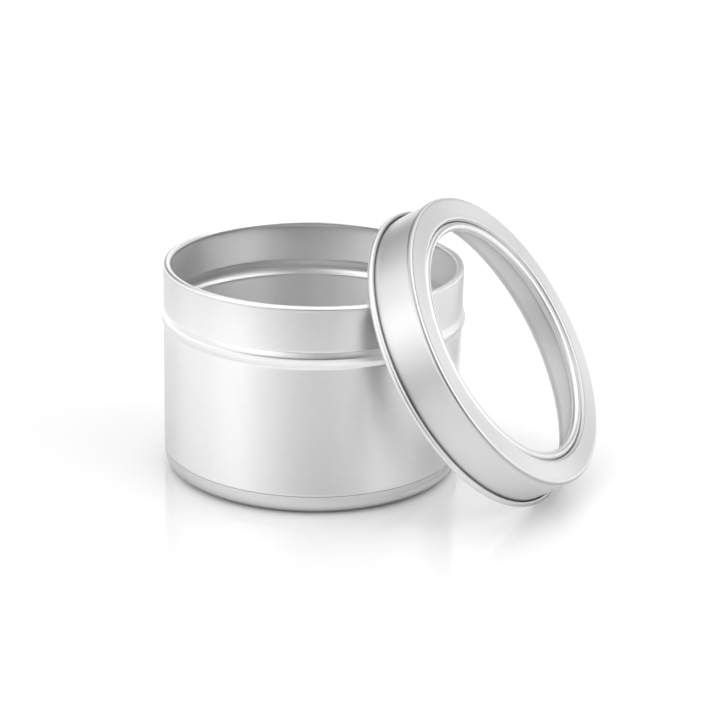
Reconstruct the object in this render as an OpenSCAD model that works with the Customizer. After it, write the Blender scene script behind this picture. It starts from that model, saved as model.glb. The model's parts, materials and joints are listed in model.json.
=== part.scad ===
// Round slip-lid tin with a clear window in the lid.
// The tin stands on the floor and its lid leans on the rim, open side towards the tin.
// Lengths are in millimetres and angles in degrees. Z is up and the tin's axis is the Z axis.

/* [Tin] */
// Outer diameter of the wall and of the neck
body_d = 76; // [60:1:90]
// Height from the floor to the top of the rim
body_h = 53.8; // [44:0.2:70]
// Sheet thickness of the wall
body_sheet = 0.35; // [0.25:0.05:0.5]
// Diameter of the inward rim roll
rim_roll_d = 1.8; // [1.4:0.1:2.6]
// Height of the neck, from the top of the rim to the bead
neck_h = 11.4; // [9:0.2:14]
// Height of the bead
bead_w = 4; // [3:0.2:5]
// How far the bead stands out from the wall
bead_reach = 0.7; // [0.5:0.1:1]

/* [Base] */
// Height of the base band under the wall
base_h = 5; // [4.5:0.5:7]
// Sheet thickness of the base
base_sheet = 0.35; // [0.25:0.05:0.5]
// Radius of the rounded lower edge
base_round = 3.6; // [2.4:0.2:4.2]
// How far the band is set in from the wall
base_inset = 0.15; // [0.05:0.05:0.3]
// Width of the flat foot that stands on the floor
foot_w = 1.4; // [1:0.2:3]
// How far the bottom plate is raised above the floor
plate_lift = 0.9; // [0.6:0.1:2]
// How far the base tucks up inside the wall
tuck_h = 4; // [2:0.5:8]

/* [Lid] */
// Radial gap between the neck and the lid's skirt
skirt_gap = 0.5; // [0.2:0.05:0.7]
// How far the closed lid's mouth reaches past the bead's upper edge
mouth_overlap = 0.9; // [0:0.1:1]
// Sheet thickness of the lid's cover
lid_sheet = 0.3; // [0.2:0.05:0.4]
// Diameter of the outward roll round the lid's mouth
lid_roll_d = 1.7; // [1.4:0.1:2.4]
// Radius of the corner between the skirt and the face
lid_round = 0.9; // [0.6:0.1:1.6]
// Width of the lid's face, from its outer edge to the window opening
face_w = 6.5; // [5.4:0.1:10]
// Radius of the edge that turns down into the window
lip_round = 0.9; // [0.6:0.1:1.2]
// Depth of the turned-down window edge
lip_h = 2.2; // [1.8:0.1:3]

/* [Window] */
// Sheet thickness of the window ring
ring_sheet = 0.3; // [0.2:0.05:0.4]
// Diameter of the ring's round bead
ring_bead_d = 2.2; // [1.6:0.1:2.6]
// How far the bead's top lies below the face
ring_drop = 0.35; // [0.1:0.05:0.8]
// Width of the channel that grips the window, outside the lip
channel_w = 2.6; // [1.6:0.1:3]
// Thickness of the clear window
disc_t = 0.3; // [0.2:0.05:0.5]

/* [Leaning lid] */
// How far the lid leans over from upright
lean = 33.7; // [26:0.1:40]
// How far the lid's face is turned towards the front
lid_turn = 24.8; // [0:0.1:45]
// How far the leaning lid stands to the back of the tin's middle line
lid_shift = 3.8; // [0:0.1:6]
// Gap between the leaning lid and the rim that it touches
lean_gap = 0.3; // [0.2:0.05:0.6]

/* [Fits] */
// Gap between sheets that are pressed together
press_gap = 0.03; // [0.02:0.01:0.06]
// Gap between the wall's lower edge and the base band
seam_gap = 0.15; // [0.05:0.05:0.3]
// Radial gap between the window ring and the lip
ring_gap = 0.1; // [0.05:0.05:0.2]

/* [Hidden] */
$fn = 96;

body_r = body_d / 2;
rim_r = rim_roll_d / 2;
rim_z = body_h - rim_r;

bead_z = body_h - neck_h - bead_w / 2;
bead_arc = (bead_w * bead_w / 4 + bead_reach * bead_reach) / (2 * bead_reach);
bead_x = body_r + bead_reach - bead_arc;

tuck_r = body_r - body_sheet - press_gap;
band_r = body_r - base_inset;
foot_out = band_r - base_round;
foot_in = foot_out - foot_w;

skirt_in = body_r + skirt_gap;
skirt_out = skirt_in + lid_sheet;
lid_h = neck_h + lid_sheet + mouth_overlap;
roll_r = lid_roll_d / 2;
roll_x = skirt_in + roll_r;
roll_end = 25;
lip_r = skirt_out - face_w;

bead_r = ring_bead_d / 2;
ring_x = lip_r - ring_gap - bead_r;
ring_z = lid_h - ring_drop - bead_r;
ring_low = ring_z - bead_r;
disc_top = ring_low - press_gap;
disc_low = disc_top - disc_t;
channel_r = lip_r + lid_sheet + channel_w;
hem_top = disc_low - press_gap;
hem_in = channel_r - channel_w / 2;

mouth_z = roll_x * cos(lean) + roll_r * (1 - sin(lean));
seat_halvings = 24;

// Clear distance from the lid's inside to the rim roll at one angle round the tin,
// when the middle of the lid's mouth is that far out from the tin's axis
function rim_clear(out, angle) =
    let (x = (body_r - rim_r) * cos(angle) - out,
         y = (body_r - rim_r) * sin(angle) - lid_shift,
         z = rim_z - mouth_z,
         along = x * cos(lean) + z * sin(lean),
         reach = norm([y, z * cos(lean) - x * sin(lean)]),
         side = along > roll_r ? skirt_in - reach : norm([reach - roll_x, along - roll_r]) - roll_r)
    min(side, disc_low - along) - rim_r;

// Least clear distance over the side of the rim that faces the lid
function least_clear(out) = min([for (angle = [-90:1:90]) rim_clear(out, angle)]);

// Halves the range until the lid is one lean_gap from the rim
function seat(near, far, left) =
    left == 0 ? far :
    least_clear((near + far) / 2) < lean_gap ? seat((near + far) / 2, far, left - 1) :
    seat(near, (near + far) / 2, left - 1);

mouth_out = seat(body_r / 2, body_r * 2, seat_halvings);

// Band of sheet bent round its own centre, kept only where the child shape lies
module bent_band(outer, sheet) {
    intersection() {
        difference() {
            circle(outer);
            circle(outer - sheet);
        }
        children();
    }
}

// Plain strip of a section between two corners
module strip(x0, y0, x1, y1) {
    translate([x0, y0]) square([x1 - x0, y1 - y0]);
}

module body_section() {
    difference() {
        union() {
            strip(body_r - body_sheet, base_h + seam_gap, body_r, rim_z);
            intersection() {
                translate([bead_x, bead_z]) circle(bead_arc);
                strip(body_r - body_sheet, bead_z - bead_arc, body_r + bead_arc, bead_z + bead_arc);
            }
        }
        translate([bead_x, bead_z]) circle(bead_arc - body_sheet);
    }
    translate([body_r - rim_r, rim_z]) bent_band(rim_r, body_sheet) {
        strip(-rim_r, 0, rim_r, rim_r);
        strip(-rim_r, -rim_r, 0, 0);
    }
}

module base_section() {
    strip(tuck_r - base_sheet, base_h - base_sheet, tuck_r, base_h + tuck_h);
    strip(tuck_r - base_sheet, base_h - base_sheet, band_r, base_h);
    strip(band_r - base_sheet, base_round, band_r, base_h);
    translate([foot_out, base_round]) bent_band(base_round, base_sheet)
        strip(0, -base_round, base_round, 0);
    strip(foot_in - base_sheet, 0, foot_out, base_sheet);
    strip(foot_in - base_sheet, 0, foot_in, plate_lift + base_sheet);
    strip(0, plate_lift, foot_in, plate_lift + base_sheet);
}

module cover_section() {
    strip(skirt_in, roll_r, skirt_out, lid_h - lid_round);
    translate([roll_x, roll_r]) bent_band(roll_r, lid_sheet) {
        strip(-roll_r, -roll_r, roll_r, 0);
        strip(0, 0, roll_r, roll_r);
        rotate(roll_end) strip(-roll_r, 0, roll_r, roll_r * 2);
    }
    translate([skirt_out - lid_round, lid_h - lid_round]) bent_band(lid_round, lid_sheet)
        strip(0, 0, lid_round, lid_round);
    strip(lip_r + lip_round, lid_h - lid_sheet, skirt_out - lid_round, lid_h);
    translate([lip_r + lip_round, lid_h - lip_round]) bent_band(lip_round, lid_sheet)
        strip(-lip_round, 0, 0, lip_round);
    strip(lip_r, lid_h - lip_h, lip_r + lid_sheet, lid_h - lip_round);
}

module ring_section() {
    translate([ring_x, ring_z]) bent_band(bead_r, ring_sheet) {
        strip(-bead_r, 0, bead_r, bead_r);
        strip(-bead_r, -bead_r, 0, 0);
    }
    strip(ring_x + bead_r - ring_sheet, ring_low, ring_x + bead_r, ring_z);
    strip(ring_x + bead_r - ring_sheet, ring_low, channel_r, ring_low + ring_sheet);
    strip(channel_r - ring_sheet, hem_top - ring_sheet, channel_r, ring_low);
    strip(hem_in, hem_top - ring_sheet, channel_r, hem_top);
}

// Places the lid's own frame, with Z from its mouth to its face, where the lid leans
module leaning() {
    rotate(-lid_turn) translate([mouth_out, lid_shift, mouth_z]) rotate([0, 90 - lean, 0]) children();
}

module tin_body() {
    color("silver") rotate_extrude() body_section();
}

module base_end() {
    color("lightgray") rotate_extrude() base_section();
}

module lid_cover() {
    color("gainsboro") leaning() rotate_extrude() cover_section();
}

module window_ring() {
    color("silver") leaning() rotate_extrude() ring_section();
}

module window_disc() {
    color("azure", 0.3) leaning() translate([0, 0, disc_low])
        cylinder(h = disc_t, r = channel_r - ring_sheet - press_gap);
}

tin_body();
base_end();
lid_cover();
window_ring();
window_disc();
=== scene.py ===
import json
import math
import bmesh
import bpy
from mathutils import Matrix, Vector


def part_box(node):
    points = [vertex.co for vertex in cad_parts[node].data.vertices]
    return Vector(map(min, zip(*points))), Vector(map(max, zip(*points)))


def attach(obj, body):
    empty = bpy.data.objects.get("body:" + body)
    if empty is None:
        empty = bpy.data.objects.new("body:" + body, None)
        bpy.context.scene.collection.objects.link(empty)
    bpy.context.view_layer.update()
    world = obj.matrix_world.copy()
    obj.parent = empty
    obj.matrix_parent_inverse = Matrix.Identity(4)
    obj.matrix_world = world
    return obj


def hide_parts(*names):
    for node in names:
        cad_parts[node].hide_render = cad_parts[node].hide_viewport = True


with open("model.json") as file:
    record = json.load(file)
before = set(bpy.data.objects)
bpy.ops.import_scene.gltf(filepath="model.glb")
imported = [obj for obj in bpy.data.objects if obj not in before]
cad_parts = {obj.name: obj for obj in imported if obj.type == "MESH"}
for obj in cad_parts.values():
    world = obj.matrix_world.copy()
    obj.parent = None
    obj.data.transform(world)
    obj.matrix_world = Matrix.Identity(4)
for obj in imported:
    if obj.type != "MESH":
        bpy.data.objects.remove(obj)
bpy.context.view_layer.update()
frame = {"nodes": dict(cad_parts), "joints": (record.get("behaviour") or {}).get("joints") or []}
print("frame loaded:", ", ".join(sorted(frame["nodes"])))

mm = 0.001
turnSteps = 288      # steps round every turned piece
bendSteps = 12       # steps round a quarter bend
sharpAngle = math.radians(38)


# Sheet metal is drawn as a half section, radius first and height second, then turned

def bend(centre, radius, start, end):
    steps = max(2, round(bendSteps * abs(end - start) / 90))
    angles = [math.radians(start + (end - start) * k / steps) for k in range(steps + 1)]
    return [(centre[0] + radius * math.cos(a), centre[1] + radius * math.sin(a)) for a in angles]


def softCorner(before, corner, after, radius):
    # three points of a line with its corner rounded to the radius
    a = Vector(before) - Vector(corner)
    b = Vector(after) - Vector(corner)
    half = a.angle(b) / 2
    reach = min(radius / math.tan(half), a.length * 0.49, b.length * 0.49)
    radius = reach * math.tan(half)
    middle = Vector(corner) + (a.normalized() + b.normalized()).normalized() * (radius / math.sin(half))
    start = Vector(corner) + a.normalized() * reach - middle
    end = Vector(corner) + b.normalized() * reach - middle
    turn = start.angle_signed(end)
    steps = max(3, round(bendSteps * abs(turn) / (math.pi / 2)))
    points = []
    for k in range(steps + 1):
        spin = -turn * k / steps
        x = start.x * math.cos(spin) - start.y * math.sin(spin)
        y = start.x * math.sin(spin) + start.y * math.cos(spin)
        points.append((middle.x + x, middle.y + y))
    return points


def softLine(points, radius):
    line = [points[0]]
    for k in range(1, len(points) - 1):
        line += softCorner(points[k - 1], points[k], points[k + 1], radius)
    return line + [points[-1]]


def tidyLine(points, least=0.004):
    line = [points[0]]
    for point in points[1:]:
        if math.dist(point, line[-1]) > least:
            line.append(point)
    return line


def sheetSection(points, sheet):
    # thickens a line to its right-hand side, seen along its direction
    line = tidyLine(points)
    other = []
    for k, point in enumerate(line):
        before = Vector(line[max(k - 1, 0)])
        after = Vector(line[min(k + 1, len(line) - 1)])
        along = (after - before).normalized()
        other.append((point[0] + along.y * sheet, point[1] - along.x * sheet))
    return line, other


def guardLine(section, reach=0.4):
    # straight runs get a point near each end, so what the corners carry stays there
    loop = []
    for k, point in enumerate(section):
        following = section[(k + 1) % len(section)]
        length = math.dist(point, following)
        loop.append(point)
        if length > 4 * reach:
            for share in (reach / length, 1 - reach / length):
                loop.append((point[0] + (following[0] - point[0]) * share,
                             point[1] + (following[1] - point[1]) * share))
    return loop


def tightness(section, k, radius=4.0):
    # 1 where the section bends tighter than the radius, 0 on straight runs
    before, point, after = (Vector(section[(k + step) % len(section)]) for step in (-1, 0, 1))
    a, b = point - before, after - point
    length = min(a.length, b.length)
    if length < 1e-6:
        return 1.0
    return min(1.0, a.angle(b) / length * radius)


def paintedShadeAt(point, shadedGrooves):
    # painted shade, strongest in the middle of a groove and fading out to its reach
    return max([0.0] + [shadedGroove["shadeDepth"] * (1 - math.dist(point, shadedGroove["middle"]) / shadedGroove["reach"])
                        for shadedGroove in shadedGrooves])


def lathe(name, outline, place=Matrix(), shadedGrooves=()):
    # the section is a closed loop; points on the axis become one vertex
    # onPiece keeps each point in the piece's own frame for its grain, and grainMap runs round it
    section = guardLine(outline)
    verts = []
    rings = []
    bends, paintedShades = [], []
    for k, (radius, height) in enumerate(section):
        steps = turnSteps if radius > 1e-4 else 1
        rings.append([len(verts) + j % steps for j in range(turnSteps)])
        bends += [tightness(section, k) if steps > 1 else 0.0] * steps
        # each point also carries the painted shade of the grooves near it
        paintedShades += [paintedShadeAt((radius, height), shadedGrooves)] * steps
        for j in range(steps):
            a = 2 * math.pi * j / steps
            verts.append((radius * math.cos(a) * mm, radius * math.sin(a) * mm, height * mm))
    faces, corners = [], []
    travelled = 0
    for k, ring in enumerate(rings):
        start, end = section[k], section[(k + 1) % len(section)]
        following = rings[(k + 1) % len(rings)]
        arrived = travelled + math.dist(start, end) * mm
        if start[0] > 1e-4 or end[0] > 1e-4:
            for j in range(turnSteps):
                n = (j + 1) % turnSteps
                face = {}
                for vertex, u, v in ((ring[j], j, travelled), (ring[n], j + 1, travelled),
                                     (following[n], j + 1, arrived), (following[j], j, arrived)):
                    face.setdefault(vertex, (u / turnSteps, v))
                faces.append(list(face))
                corners += face.values()
        travelled = arrived
    mesh = bpy.data.meshes.new(name)
    mesh.from_pydata(verts, [], faces)
    own = mesh.attributes.new("onPiece", "FLOAT_VECTOR", "POINT")
    for k, vertex in enumerate(mesh.vertices):
        own.data[k].vector = vertex.co
    for layer, values in (("bent", bends), ("paintedShade", paintedShades)):
        attribute = mesh.attributes.new(layer, "FLOAT", "POINT")
        for k, value in enumerate(values):
            attribute.data[k].value = value
    grainMap = mesh.uv_layers.new(name="grainMap")
    for loop, corner in enumerate(corners):
        grainMap.data[loop].uv = corner
    mesh.transform(place)
    piece = bpy.data.objects.new(name, mesh)
    bpy.context.scene.collection.objects.link(piece)
    fixNormals(mesh)
    return piece


def fixNormals(mesh):
    work = bmesh.new()
    work.from_mesh(mesh)
    bmesh.ops.recalc_face_normals(work, faces=work.faces)
    work.to_mesh(mesh)
    work.free()
    for face in mesh.polygons:
        face.use_smooth = True
    mesh.set_sharp_from_angle(angle=sharpAngle)


def sheetPiece(name, points, sheet, place=Matrix(), shadedGrooves=()):
    line, other = sheetSection(points, sheet)
    return lathe(name, line + other[::-1], place, shadedGrooves)


# The tin: straight wall, outward bead under the neck, rim rolled inward

tin = {
    "radius": 38.0,
    "height": 53.8,
    "sheet": 0.35,
    "rimRadius": 0.9,
    "neck": 11.4,
    "beadWidth": 4.0,
    "beadReach": 0.7,
    "beadCrease": 0.5,   # radius where the bead meets the wall
    "seamHeight": 5.3,
    "shadedGrooves": [{"middle": (38.0, 52.8), "reach": 0.4, "shadeDepth": 0.5}],    # painted dark reflection line under the rolled rim
    "metalLevel": 0.85,
}


def tinBody():
    r = tin["radius"]
    rimTop = tin["height"] - tin["rimRadius"]
    beadMiddle = tin["height"] - tin["neck"] - tin["beadWidth"] / 2
    half = tin["beadWidth"] / 2
    reach = tin["beadReach"]
    beadArc = (half * half + reach * reach) / (2 * reach)
    swing = math.degrees(math.asin(half / beadArc))
    beadCentre = (r + reach - beadArc, beadMiddle)
    bead = bend(beadCentre, beadArc, -swing, swing)
    inner = bead[1:-1]
    low = softCorner((r, tin["seamHeight"]), bead[0], inner[1], tin["beadCrease"])
    high = softCorner(inner[-2], bead[-1], (r, rimTop), tin["beadCrease"])
    roll = bend((r - tin["rimRadius"], rimTop), tin["rimRadius"], 0, 268)
    # drawn from the inside end of the roll down to the seam, so the sheet lies inside
    wall = [(r, tin["seamHeight"])] + low + inner[2:-2] + high + roll
    line, other = sheetSection(wall, -tin["sheet"])
    return lathe("tin_wall", line + other[::-1], shadedGrooves=tin["shadedGrooves"])


# The base: pressed end with a rounded lower edge, a narrow foot and a raised plate

base = {
    "bandRadius": 37.85,
    "tuckRadius": 37.62,
    "tuckTop": 9.0,
    "bandTop": 5.0,
    "roundRadius": 3.6,
    "foot": 1.4,
    "plateLift": 0.9,
    "sheet": 0.35,
    "shadedGrooves": [{"middle": (35.4, 0.2), "reach": 1.8, "shadeDepth": 0.9}],     # painted contact shadow where it stands
    # darker than the wall's tinplate: painted shade for the shadowed floor the base mirrors
    "metalLevel": 0.70,
}


def baseEnd():
    b = base
    footOut = b["bandRadius"] - b["roundRadius"]
    footIn = footOut - b["foot"]
    tuck = softLine([(b["tuckRadius"], b["tuckTop"]), (b["tuckRadius"], b["bandTop"]),
                     (b["bandRadius"], b["bandTop"]), (b["bandRadius"], b["roundRadius"])], 0.1)
    edge = bend((footOut, b["roundRadius"]), b["roundRadius"], 0, -90)
    plate = softLine([(footOut, 0), (footIn, 0), (footIn - 0.5, b["plateLift"]), (0, b["plateLift"])], 0.35)
    line, other = sheetSection(tuck + edge[1:] + plate[1:], b["sheet"])
    other[-1] = (0, other[-1][1])
    return lathe("base_pressing", line + other[::-1], shadedGrooves=b["shadedGrooves"])


# The lid's own frame: Z from the mouth to the face

lid = {
    "skirtInside": 38.5,
    "sheet": 0.3,
    "height": 12.6,
    "rollRadius": 0.85,
    "rollEnd": 96,
    "cornerRadius": 0.6,
    "lipInside": 32.6,
    "lipRadius": 0.6,
    "lipDepth": 2.2,
    "shadedGrooves": [{"middle": (39.1, 1.2), "reach": 1.0, "shadeDepth": 1.0},      # painted shade in the crevice behind the roll's edge
                {"middle": (38.66, 12.1), "reach": 0.6, "shadeDepth": 0.65},   # painted dark reflection line along the drawn corner
                {"middle": (32.56, 12.34), "reach": 0.6, "shadeDepth": 0.45}], # painted shade dimming the highlight where it turns down to the window
    "unshadedFrom": 2.6,    # height where the skirt is free of the painted shade behind the roll
    "metalLevel": 0.75,
}

ring = {
    "beadRadius": 1.1,
    "gap": 0.1,
    "drop": 0.35,
    "sheet": 0.3,
    "channel": 2.6,
    "pressGap": 0.03,
    "discThickness": 0.3,
    "metalLevel": 0.74,
}


def windowLevels():
    ringLow = lid["height"] - ring["drop"] - 2 * ring["beadRadius"]
    discTop = ringLow - ring["pressGap"]
    discLow = discTop - ring["discThickness"]
    return ringLow, discTop, discLow


def leaningPlace():
    # the joint gives the lid's axis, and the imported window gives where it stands
    axis = Vector(frame["joints"][0]["axis"]).normalized()
    low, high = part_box("window_disc")
    ringLow, discTop, discLow = windowLevels()
    mouth = (Vector(low) + Vector(high)) / 2 - axis * (discTop + discLow) / 2 * mm
    return Matrix.Translation(mouth) @ axis.to_track_quat("Z", "Y").to_matrix().to_4x4()


def lidCover(place):
    c = lid
    top = c["height"]
    roll = bend((c["skirtInside"] + c["rollRadius"], c["rollRadius"]), c["rollRadius"], c["rollEnd"], -180)
    cornerMiddle = top - c["sheet"] - c["cornerRadius"]
    corner = bend((c["skirtInside"] - c["cornerRadius"], cornerMiddle), c["cornerRadius"], 0, 90)
    lipMiddle = (c["lipInside"] + c["lipRadius"], top - c["sheet"] - c["lipRadius"])
    lip = bend(lipMiddle, c["lipRadius"], 90, 180)
    end = [(c["lipInside"], top - c["lipDepth"])]
    # a point on the skirt where the painted shade behind the roll ends
    unshaded = [(c["skirtInside"], c["unshadedFrom"])]
    return sheetPiece("lid_pressing", roll + unshaded + corner + lip + end, c["sheet"], place, c["shadedGrooves"])


def windowRing(place):
    g = ring
    ringLow, discTop, discLow = windowLevels()
    lipRadius = lid["lipInside"] - lid["sheet"]
    outer = lipRadius - g["gap"]
    middle = (outer - g["beadRadius"], ringLow + g["beadRadius"])
    bead = bend(middle, g["beadRadius"], 266, 0)
    channelRadius = lid["lipInside"] + g["channel"]
    hemLow = discLow - g["pressGap"] - g["sheet"]
    flange = softLine([bead[-1], (outer, ringLow + g["sheet"]), (channelRadius, ringLow + g["sheet"]),
                       (channelRadius, hemLow), (channelRadius - g["channel"] / 2, hemLow)], 0.18)
    return sheetPiece("window_bead", bead + flange[1:], g["sheet"], place)


def windowDisc(place):
    g = ring
    ringLow, discTop, discLow = windowLevels()
    radius = lid["lipInside"] + g["channel"] - g["sheet"] - g["pressGap"]
    edge = 0.06
    outline = [(0, discTop), (radius - edge, discTop), (radius, discTop - edge),
               (radius, discLow + edge), (radius - edge, discLow), (0, discLow)]
    return lathe("clear_disc", outline, place)


# Tinned steel: satin, with fine grain that runs round the piece

metal = {
    "warmth": (1.0, 1.0, 0.996),
    "shade": 0.03,           # how much the tone varies from grain to grain
    "paintedShade": 0.75,           # how much darker the metal's colour is painted where a groove's shade is deepest
    "roughness": 0.43,
    "roughnessSpread": 0.04,
    "rolledRoughness": 0.7,  # share of the roughness left where the sheet was rolled tight
    "grainPerMetre": 2600,
    "grainPerTurn": 110,     # the grain is short, a mottle more than a brushing
    "cloudsPerMetre": 60,
    "grainHeight": 0.00000008,
    "anisotropy": 0.88,
    "acrossGrain": 0.25,     # quarter turn, so highlights stretch across the grain
}


def nodeTree(name):
    material = bpy.data.materials.new(name)
    material.use_nodes = True
    tree = material.node_tree
    tree.nodes.clear()
    return material, tree


def addNode(tree, kind, inputs=(), **settings):
    node = tree.nodes.new(kind)
    for key, value in settings.items():
        setattr(node, key, value)
    for key, value in dict(inputs).items():
        if isinstance(value, bpy.types.NodeSocket):
            tree.links.new(value, node.inputs[key])
        else:
            node.inputs[key].default_value = value
    return node


def ownPlace(tree):
    return addNode(tree, "ShaderNodeAttribute", attribute_name="onPiece").outputs["Vector"]


def roundGrain(tree, perMetre, perTurn, seed):
    # noise that changes slowly round the axis and fast across the grain
    parts = addNode(tree, "ShaderNodeSeparateXYZ", {0: ownPlace(tree)})
    squareX = addNode(tree, "ShaderNodeMath", {0: parts.outputs[0], 1: parts.outputs[0]}, operation="MULTIPLY")
    squares = addNode(tree, "ShaderNodeMath", {0: parts.outputs[1], 1: parts.outputs[1], 2: squareX.outputs[0]},
                      operation="MULTIPLY_ADD")
    radius = addNode(tree, "ShaderNodeMath", {0: squares.outputs[0]}, operation="SQRT")
    angle = addNode(tree, "ShaderNodeMath", {0: parts.outputs[1], 1: parts.outputs[0]}, operation="ARCTAN2")
    across = addNode(tree, "ShaderNodeMath", {0: radius.outputs[0], 1: perMetre}, operation="MULTIPLY")
    along = addNode(tree, "ShaderNodeMath", {0: parts.outputs[2], 1: perMetre}, operation="MULTIPLY")
    around = addNode(tree, "ShaderNodeMath", {0: angle.outputs[0], 1: perTurn / (2 * math.pi)}, operation="MULTIPLY")
    joined = addNode(tree, "ShaderNodeCombineXYZ", {0: across.outputs[0], 1: along.outputs[0],
                                                    2: around.outputs[0]})
    return addNode(tree, "ShaderNodeTexNoise", {"Vector": joined.outputs[0], "W": seed, "Scale": 1.0,
                                                "Detail": 3.0, "Roughness": 0.6}, noise_dimensions="4D")


def mixed(tree, kind, share, first, second):
    # a colour or vector that goes from the first to the second with the share
    slots = {"RGBA": (6, 7, 2), "VECTOR": (4, 5, 1)}[kind]
    node = addNode(tree, "ShaderNodeMix", {0: share, slots[0]: first, slots[1]: second}, data_type=kind)
    return node.outputs[slots[2]]


def sheetMetal(name, seed, level):
    m = metal
    material, tree = nodeTree(name)
    grain = roundGrain(tree, m["grainPerMetre"], m["grainPerTurn"], seed)
    cloud = addNode(tree, "ShaderNodeTexNoise", {"Vector": ownPlace(tree), "Scale": m["cloudsPerMetre"],
                                                 "Detail": 3.0, "W": seed}, noise_dimensions="4D")
    bent = addNode(tree, "ShaderNodeAttribute", attribute_name="bent").outputs["Fac"]
    paintedShade = addNode(tree, "ShaderNodeAttribute", attribute_name="paintedShade").outputs["Fac"]

    dark, light, shaded = ([level * share * c for c in m["warmth"]] + [1]
                          for share in (1 - m["shade"], 1 + m["shade"], 1 - m["paintedShade"]))
    both = addNode(tree, "ShaderNodeMath", {0: grain.outputs[0], 1: cloud.outputs[0]}, operation="ADD")
    streak = addNode(tree, "ShaderNodeMapRange", {0: both.outputs[0], 1: 0.7, 2: 1.3})
    unshaded = mixed(tree, "RGBA", streak.outputs[0], dark, light)
    # painted shade: the colour turns darker in the grooves
    colour = mixed(tree, "RGBA", paintedShade, unshaded, shaded)

    low = m["roughness"] - m["roughnessSpread"] / 2
    satin = addNode(tree, "ShaderNodeMapRange", {0: both.outputs[0], 1: 0.7, 2: 1.3,
                                                 3: low, 4: low + m["roughnessSpread"]})
    polish = addNode(tree, "ShaderNodeMapRange", {0: bent, 3: 1.0, 4: m["rolledRoughness"]})
    rough = addNode(tree, "ShaderNodeMath", {0: satin.outputs[0], 1: polish.outputs[0]}, operation="MULTIPLY")
    bump = addNode(tree, "ShaderNodeBump", {"Height": grain.outputs[0], "Strength": 0.5,
                                            "Distance": m["grainHeight"]})

    # tight bends mirror more sharply across the bend, so the highlight's stretch turns there
    around = addNode(tree, "ShaderNodeTangent", direction_type="UV_MAP", uv_map="grainMap")
    facing = addNode(tree, "ShaderNodeNewGeometry")
    across = addNode(tree, "ShaderNodeVectorMath", {0: facing.outputs["Normal"], 1: around.outputs[0]},
                     operation="CROSS_PRODUCT")
    tangent = mixed(tree, "VECTOR", bent, around.outputs[0], across.outputs[0])
    shader = addNode(tree, "ShaderNodeBsdfPrincipled", {
        "Base Color": colour, "Metallic": 1.0, "Roughness": rough.outputs[0],
        "Anisotropic": m["anisotropy"], "Anisotropic Rotation": m["acrossGrain"],
        "Normal": bump.outputs[0], "Tangent": tangent})
    addNode(tree, "ShaderNodeOutputMaterial", {0: shader.outputs[0]})
    return material


def clearSheet(name):
    material, tree = nodeTree(name)
    dust = addNode(tree, "ShaderNodeTexNoise", {"Vector": ownPlace(tree), "Scale": 300.0, "Detail": 4.0})
    rough = addNode(tree, "ShaderNodeMapRange", {0: dust.outputs[0], 1: 0.4, 2: 0.8, 3: 0.03, 4: 0.09})
    shader = addNode(tree, "ShaderNodeBsdfPrincipled", {
        "Base Color": (1, 1, 1, 1), "Roughness": rough.outputs[0], "IOR": 1.49, "Alpha": 0.1})
    addNode(tree, "ShaderNodeOutputMaterial", {0: shader.outputs[0]})
    return material


def dress(piece, material, body, node):
    piece.data.materials.clear()
    piece.data.materials.append(material)
    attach(piece, body)
    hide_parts(node)


leaning = leaningPlace()
dress(tinBody(), sheetMetal("tinned_wall", 1.0, tin["metalLevel"]), "tin", "tin_body")
dress(baseEnd(), sheetMetal("tinned_base", 4.0, base["metalLevel"]), "tin", "base_end")
dress(lidCover(leaning), sheetMetal("tinned_lid", 7.0, lid["metalLevel"]), "lid", "lid_cover")
dress(windowRing(leaning), sheetMetal("tinned_ring", 9.0, ring["metalLevel"]), "lid", "window_ring")
dress(windowDisc(leaning), clearSheet("clear_window"), "lid", "window_disc")
print("tin and lid made")


# The studio: pale floor, a lamp above and a light tent round it all

studio = {
    "floorSize": 6.0,
    "floorColour": (0.84, 0.84, 0.84),
    "floorLift": 0.05,       # white that the camera and mirrors see on the floor by the tin
    "farLift": 0.6,          # the same away from it, so the background is white from all sides
    "farFrom": 0.1,
    "farAt": 0.55,
    "floorRoughness": 0.09,
    "glossyBounces": 10,     # the inside of the tin mirrors itself
}

topBox = {"place": (0.0, 0.15, 0.95), "size": (0.9, 0.7), "level": 0.25}

# a light tent round the table, glowing in soft patches
# turns are degrees to the right of the camera's side, and heights are degrees above the table
tent = {
    "radius": 2.6,
    "tone": 1.15,
    "columns": 120,
    "rows": 60,
    "patches": [
        {"turn": -78, "half": 70, "fade": 40, "high": 70, "soften": 20, "tone": 1.1},
        {"turn": -58, "half": 34, "fade": 20, "low": 14, "high": 52, "soften": 14, "tone": 2.3},
        {"turn": 66, "half": 46, "fade": 26, "low": 12, "high": 76, "soften": 14, "tone": 2.1},
        {"turn": 0, "half": 28, "fade": 18, "high": 68, "soften": 16, "tone": 0.45},
        {"turn": 22, "half": 26, "fade": 16, "low": 5, "high": 34, "soften": 10, "tone": 0.1},
        {"turn": -145, "half": 33, "fade": 20, "low": 6, "high": 46, "soften": 10, "tone": 0.05},
        {"turn": 127, "half": 32, "fade": 16, "low": 8, "high": 40, "soften": 10, "tone": 0.1},
        {"turn": 150, "half": 34, "fade": 16, "high": 20, "soften": 8, "tone": 1.5},
        {"turn": -2, "half": 54, "fade": 20, "high": 14, "soften": 6, "tone": 0.0},
        {"turn": 0, "half": 200, "fade": 10, "low": 62, "high": 110, "soften": 10, "tone": 1.55},
    ],
}


def isSeen(tree):
    # 1 for camera, mirror and glass rays
    path = addNode(tree, "ShaderNodeLightPath")
    first = addNode(tree, "ShaderNodeMath", {0: path.outputs["Is Camera Ray"], 1: path.outputs["Is Glossy Ray"]},
                    operation="MAXIMUM")
    return addNode(tree, "ShaderNodeMath", {0: first.outputs[0], 1: path.outputs["Is Transmission Ray"]},
                   operation="MAXIMUM").outputs[0]


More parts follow.
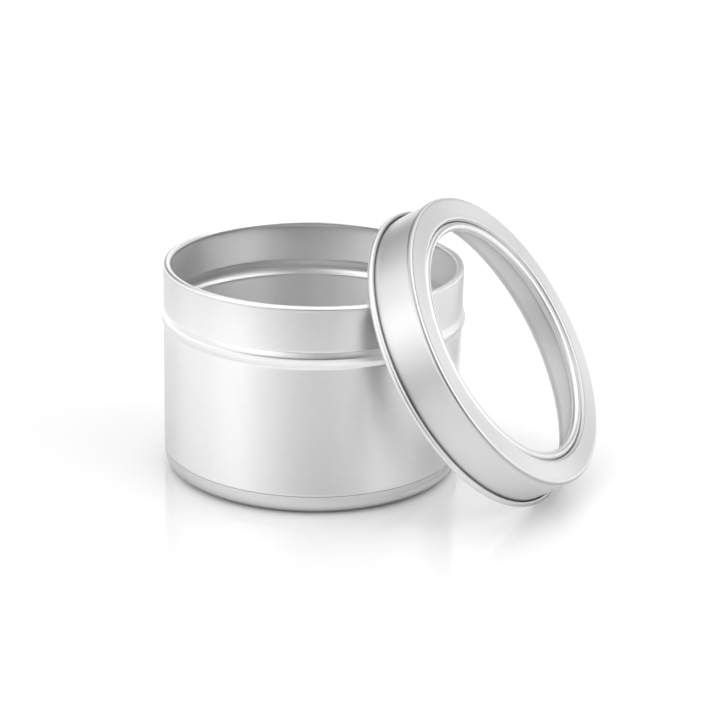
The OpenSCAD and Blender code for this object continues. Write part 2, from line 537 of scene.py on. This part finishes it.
def makeFloor():
    half = studio["floorSize"] / 2
    mesh = bpy.data.meshes.new("floor")
    mesh.from_pydata([(-half, -half, 0), (half, -half, 0), (half, half, 0), (-half, half, 0)], [], [(0, 1, 2, 3)])
    floor = bpy.data.objects.new("floor", mesh)
    bpy.context.scene.collection.objects.link(floor)
    material, tree = nodeTree("pale_floor")
    surface = addNode(tree, "ShaderNodeBsdfPrincipled", {
        "Base Color": (*studio["floorColour"], 1), "Roughness": studio["floorRoughness"], "IOR": 1.5})
    place = addNode(tree, "ShaderNodeNewGeometry")
    away = addNode(tree, "ShaderNodeVectorMath", {0: place.outputs["Position"]}, operation="LENGTH")
    whiter = addNode(tree, "ShaderNodeMapRange", {0: away.outputs["Value"], 1: studio["farFrom"],
                                                  2: studio["farAt"], 3: studio["floorLift"],
                                                  4: studio["farLift"]}, interpolation_type="SMOOTHSTEP")
    lift = addNode(tree, "ShaderNodeMath", {0: isSeen(tree), 1: whiter.outputs[0]}, operation="MULTIPLY")
    glow = addNode(tree, "ShaderNodeEmission", {"Strength": lift.outputs[0]})
    both = addNode(tree, "ShaderNodeAddShader", {0: surface.outputs[0], 1: glow.outputs[0]})
    addNode(tree, "ShaderNodeOutputMaterial", {0: both.outputs[0]})
    mesh.materials.append(material)


def easy(share):
    share = max(0, min(1, share))
    return 0.5 - 0.5 * math.cos(math.pi * share)


def tentTone(turn, height):
    tone = tent["tone"]
    for patch in tent["patches"]:
        away = abs((turn - patch["turn"] + 180) % 360 - 180)
        above = height - patch.get("low", -90)
        share = easy((patch["half"] - away) / patch["fade"])
        share *= easy((patch["high"] - height) / patch["soften"]) * easy(above / patch["soften"])
        tone += (patch["tone"] - tone) * share
    return tone


def makeTent():
    columns, rows = tent["columns"], tent["rows"]
    verts, tones = [], []
    for i in range(columns):
        turn = 360 * i / columns
        for j in range(rows):
            height = 90 * (j / rows)
            level = tent["radius"] * math.cos(math.radians(height))
            verts.append((level * math.sin(math.radians(turn)), -level * math.cos(math.radians(turn)),
                          tent["radius"] * math.sin(math.radians(height))))
            tones.append(tentTone(turn, height))
    verts.append((0, 0, tent["radius"]))
    tones.append(tentTone(0, 90))
    faces = []
    for i in range(columns):
        a, b = i * rows, (i + 1) % columns * rows
        faces += [(a + j, a + j + 1, b + j + 1, b + j) for j in range(rows - 1)]
        faces.append((a + rows - 1, len(verts) - 1, b + rows - 1))
    mesh = bpy.data.meshes.new("light_tent")
    mesh.from_pydata(verts, [], faces)
    level = mesh.attributes.new("tone", "FLOAT", "POINT")
    for k, value in enumerate(tones):
        level.data[k].value = value
    piece = bpy.data.objects.new("light_tent", mesh)
    bpy.context.scene.collection.objects.link(piece)
    material, tree = nodeTree("light_tent")
    tone = addNode(tree, "ShaderNodeAttribute", attribute_name="tone")
    weave = addNode(tree, "ShaderNodeTexNoise", {"Scale": 9.0, "Detail": 2.0})
    spread = addNode(tree, "ShaderNodeMapRange", {0: weave.outputs[0], 3: 0.97, 4: 1.03})
    level = addNode(tree, "ShaderNodeMath", {0: tone.outputs["Fac"], 1: spread.outputs[0]}, operation="MULTIPLY")
    glow = addNode(tree, "ShaderNodeEmission", {"Strength": level.outputs[0]})
    addNode(tree, "ShaderNodeOutputMaterial", {0: glow.outputs[0]})
    mesh.materials.append(material)
    material.cycles.emission_sampling = "NONE"


def softLamp(name, place, size, level, target=(0, 0, 0.03)):
    # a level of 1 looks white
    data = bpy.data.lights.new(name, "AREA")
    data.shape = "RECTANGLE"
    data.size, data.size_y = size
    data.energy = level * math.pi * size[0] * size[1]
    lamp = bpy.data.objects.new(name, data)
    bpy.context.scene.collection.objects.link(lamp)
    lamp.location = place
    lamp.rotation_euler = (Vector(target) - Vector(place)).to_track_quat("-Z", "Y").to_euler()
    return lamp


bpy.context.scene.cycles.glossy_bounces = studio["glossyBounces"]
makeFloor()
makeTent()
softLamp("top_box", **topBox)
print("studio made")


# The camera stands where the photograph was taken from, long lens, nearly level with the lid

camera = {
    "distance": 540.0,
    "height": 220.04,
    "down": 19.638,
    "yaw": 1.291,
    "roll": 1.240,
    "focalPixels": 2233.06,
    "framePixels": 720,
    "sensor": 36.0,
}


def makeCamera():
    c = camera
    data = bpy.data.cameras.new("camera")
    data.sensor_fit = "HORIZONTAL"
    data.sensor_width = c["sensor"]
    data.lens = c["focalPixels"] * c["sensor"] / c["framePixels"]
    data.clip_start, data.clip_end = 0.01, 50
    eye = bpy.data.objects.new("camera", data)
    bpy.context.scene.collection.objects.link(eye)
    yaw, down, roll = (math.radians(c[key]) for key in ("yaw", "down", "roll"))
    forward = Vector((math.sin(yaw) * math.cos(down), math.cos(yaw) * math.cos(down), -math.sin(down)))
    right = Vector((math.cos(yaw), -math.sin(yaw), 0))
    up = right.cross(forward)
    rolledRight = right * math.cos(roll) + up * math.sin(roll)
    rolledUp = up * math.cos(roll) - right * math.sin(roll)
    turned = Matrix((rolledRight, rolledUp, -forward)).transposed().to_4x4()
    eye.matrix_world = Matrix.Translation(Vector((0, -c["distance"], c["height"])) * mm) @ turned
    bpy.context.scene.camera = eye


makeCamera()
bpy.context.scene.view_settings.view_transform = "Standard"
